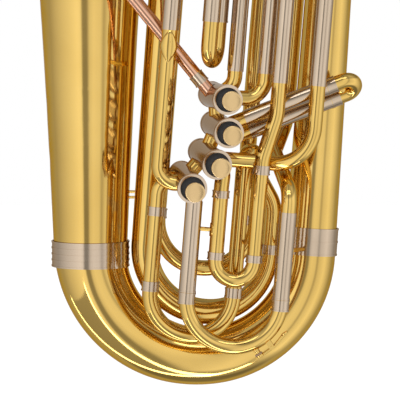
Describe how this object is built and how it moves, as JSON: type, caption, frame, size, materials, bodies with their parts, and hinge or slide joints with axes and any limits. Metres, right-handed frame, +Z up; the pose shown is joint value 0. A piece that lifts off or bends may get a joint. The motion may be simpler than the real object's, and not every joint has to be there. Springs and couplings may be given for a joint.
{
  "type": "four-valve tuba",
  "caption": "Compact brass tuba with an upright bell, front-action piston valves and pull-out tuning slides.",
  "frame": {"origin": "on the floor under the lowest point of the bottom bow", "axes": "+Z up along the bell, +X to the right of someone facing the finger buttons, +Y away from them"},
  "size_m": [0.5293, 0.39, 0.9146],
  "materials": {
    "lacquered_brass": "polished, clear lacquer",
    "rose_brass": "polished, clear lacquer",
    "nickel_silver": "polished",
    "button_brass": "polished, clear lacquer",
    "piston_metal": "fine-lapped",
    "spring_steel": "drawn wire",
    "black_felt": "felted",
    "key_cork": "cork"
  },
  "bodies": {
    "tuba": {"bell": "lacquered_brass", "bell_ferrule": "nickel_silver", "bottom_bow": "lacquered_brass", "braces": "lacquered_brass", "branch_ferrules": "nickel_silver", "first_slide_sleeves": "nickel_silver", "first_valve_ports": "lacquered_brass", "fourth_lower_bow": "lacquered_brass", "fourth_rear_bow": "lacquered_brass", "fourth_rear_branch": "lacquered_brass", "fourth_rear_leg": "lacquered_brass", "fourth_slide_sleeves": "nickel_silver", "fourth_valve_ports": "lacquered_brass", "inner_bow": "lacquered_brass", "inner_branch": "lacquered_brass", "leadpipe": "rose_brass", "main_slide_sleeves": "nickel_silver", "mouthpiece_receiver": "nickel_silver", "outer_branch": "lacquered_brass", "return_leg": "lacquered_brass", "return_riser": "lacquered_brass", "second_slide_sleeves": "nickel_silver", "second_valve_ports": "lacquered_brass", "third_lower_crook": "lacquered_brass", "third_slide_sleeves": "nickel_silver", "third_valve_ports": "lacquered_brass", "top_bow": "lacquered_brass", "tube_ferrules": "nickel_silver", "valve_bottom_caps": "nickel_silver", "valve_caps": "nickel_silver", "valve_casing_1": "nickel_silver", "valve_casing_2": "nickel_silver", "valve_casing_3": "nickel_silver", "valve_casing_4": "nickel_silver", "valve_felts": "black_felt", "valve_knuckles": "lacquered_brass", "valve_springs": "spring_steel"},
    "valve_1": {"piston_1": "piston_metal", "finger_button_1": "button_brass"},
    "valve_2": {"piston_2": "piston_metal", "finger_button_2": "button_brass"},
    "valve_3": {"piston_3": "piston_metal", "finger_button_3": "button_brass"},
    "valve_4": {"piston_4": "piston_metal", "finger_button_4": "button_brass"},
    "main_slide": {"main_tuning_slide": "lacquered_brass", "main_slide_ferrules": "nickel_silver", "water_key_saddle": "lacquered_brass"},
    "water_key": {"water_key_lever": "lacquered_brass", "water_key_cork": "key_cork"},
    "first_slide": {"first_slide": "lacquered_brass", "first_slide_ferrules": "nickel_silver"},
    "second_slide": {"second_slide": "lacquered_brass", "second_slide_fittings": "nickel_silver"},
    "third_slide": {"third_slide": "lacquered_brass", "third_slide_ferrules": "nickel_silver"},
    "fourth_upper_slide": {"fourth_upper_slide": "lacquered_brass", "fourth_slide_ferrules": "nickel_silver"},
    "fourth_lower_slide": {"fourth_lower_slide": "lacquered_brass"}
  },
  "joints": [
    {"name": "valve_1_press", "type": "slide", "parent": "tuba", "child": "valve_1", "axis": [-0.1453, 0.9893, 0.0122], "range_m": [0, 0.019], "stiffness_N_per_m": 150, "springref_m": -0.03},
    {"name": "valve_2_press", "type": "slide", "parent": "tuba", "child": "valve_2", "axis": [-0.1355, 0.99, 0.0396], "range_m": [0, 0.019], "stiffness_N_per_m": 150, "springref_m": -0.03},
    {"name": "valve_3_press", "type": "slide", "parent": "tuba", "child": "valve_3", "axis": [-0.1458, 0.9873, 0.063], "range_m": [0, 0.019], "stiffness_N_per_m": 150, "springref_m": -0.03},
    {"name": "valve_4_press", "type": "slide", "parent": "tuba", "child": "valve_4", "axis": [-0.1053, 0.9921, 0.0679], "range_m": [0, 0.019], "stiffness_N_per_m": 150, "springref_m": -0.03},
    {"name": "main_slide_pull", "type": "slide", "parent": "tuba", "child": "main_slide", "axis": [-0.0802, 0, -0.9968], "range_m": [0, 0.05]},
    {"name": "first_slide_pull", "type": "slide", "parent": "tuba", "child": "first_slide", "axis": [0.0802, 0, 0.9968], "range_m": [0, 0.09]},
    {"name": "second_slide_pull", "type": "slide", "parent": "tuba", "child": "second_slide", "axis": [0.9336, 0, 0.3584], "range_m": [0, 0.07]},
    {"name": "third_slide_pull", "type": "slide", "parent": "tuba", "child": "third_slide", "axis": [0.0802, 0, 0.9968], "range_m": [0, 0.095]},
    {"name": "fourth_upper_slide_pull", "type": "slide", "parent": "tuba", "child": "fourth_upper_slide", "axis": [0.0802, 0, 0.9968], "range_m": [0, 0.038]},
    {"name": "fourth_lower_slide_pull", "type": "slide", "parent": "tuba", "child": "fourth_lower_slide", "axis": [-0.0802, 0, -0.9968], "range_m": [0, 0.008]},
    {"name": "water_key_turn", "type": "hinge", "parent": "main_slide", "child": "water_key", "pos_m": [0.08674, -0.114, 0.06307], "axis": [0, -1, 0], "range_deg": [0, 12], "stiffness_Nm_per_rad": 0.2, "springref_deg": -17.19}
  ]
}
